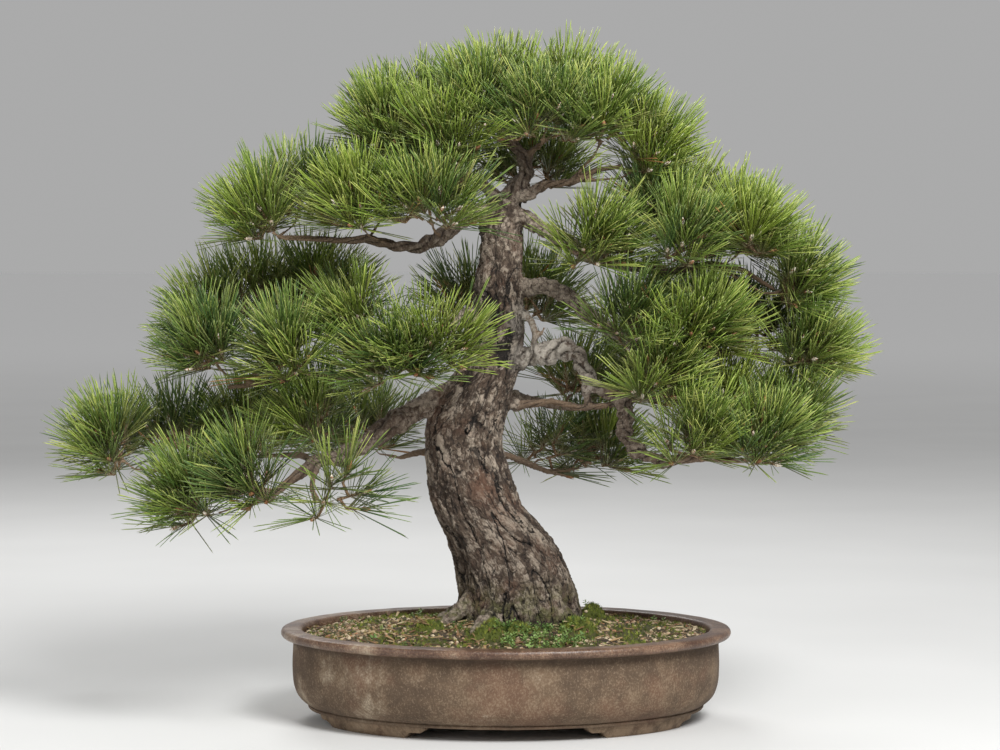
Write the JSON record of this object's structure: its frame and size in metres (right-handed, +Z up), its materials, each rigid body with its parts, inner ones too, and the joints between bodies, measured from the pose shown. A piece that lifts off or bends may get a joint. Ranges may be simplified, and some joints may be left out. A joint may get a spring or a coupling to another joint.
{
  "type": "stone pine bonsai in an oval pot",
  "caption": "Informal upright stone pine bonsai: a leaning trunk in thick plated bark, layered pads of long needles, in a shallow oval pot with a rolled lip and low feet.",
  "frame": {"origin": "middle of the whole outline, seen from above, on the surface that the pot's feet stand on", "axes": "+Z up, the front of the tree towards -Y, +X to the right of someone who looks at the front"},
  "size_m": [0.8866, 0.4624, 0.7637],
  "materials": {
    "stoneware": "unglazed, matt, with pale mineral bloom",
    "plastic_mesh": "matt",
    "gravelly_soil": "matt, gritty, with moss on top",
    "pine_bark": "rough, thick plates with dark fissures",
    "pine_needles": "satin, living green"
  },
  "bodies": {
    "root": {"drainage_screen_left": "plastic_mesh", "drainage_screen_right": "plastic_mesh", "pot": "stoneware", "soil": "gravelly_soil", "spray_back_centre_1": "pine_needles", "spray_back_centre_2": "pine_needles", "spray_back_left_1": "pine_needles", "spray_back_mid_1": "pine_needles", "spray_back_mid_2": "pine_needles", "spray_back_right_1": "pine_needles", "spray_back_right_2": "pine_needles", "spray_back_upper_1": "pine_needles", "spray_back_upper_2": "pine_needles", "spray_gnarled_right_1": "pine_needles", "spray_leader_1": "pine_needles", "spray_leader_2": "pine_needles", "spray_low_left_1": "pine_needles", "spray_low_left_2": "pine_needles", "spray_low_left_3": "pine_needles", "spray_low_left_drop_1": "pine_needles", "spray_low_left_inner_1": "pine_needles", "spray_low_left_outer_1": "pine_needles", "spray_low_left_outer_2": "pine_needles", "spray_low_right_1": "pine_needles", "spray_low_right_2": "pine_needles", "spray_low_right_back_1": "pine_needles", "spray_low_right_back_2": "pine_needles", "spray_mid_left_1": "pine_needles", "spray_mid_left_2": "pine_needles", "spray_mid_left_3": "pine_needles", "spray_mid_left_4": "pine_needles", "spray_mid_left_5": "pine_needles", "spray_mid_left_upper_1": "pine_needles", "spray_mid_left_upper_2": "pine_needles", "spray_mid_left_upper_3": "pine_needles", "spray_mid_right_1": "pine_needles", "spray_mid_right_2": "pine_needles", "spray_mid_right_3": "pine_needles", "spray_mid_right_4": "pine_needles", "spray_mid_right_5": "pine_needles", "spray_top_fork_1": "pine_needles", "spray_top_fork_2": "pine_needles", "spray_top_left_1": "pine_needles", "spray_top_left_2": "pine_needles", "spray_top_left_3": "pine_needles", "spray_top_right_1": "pine_needles", "spray_top_right_2": "pine_needles", "spray_upper_left_1": "pine_needles", "spray_upper_left_2": "pine_needles", "spray_upper_left_3": "pine_needles", "spray_upper_left_4": "pine_needles", "spray_upper_left_5": "pine_needles", "spray_upper_right_1": "pine_needles", "spray_upper_right_2": "pine_needles", "spray_upper_right_3": "pine_needles", "spray_upper_right_4": "pine_needles", "spray_upper_right_back_1": "pine_needles", "spray_upper_right_back_2": "pine_needles", "spray_upper_right_back_3": "pine_needles", "wood": "pine_bark"}
  },
  "joints": []
}
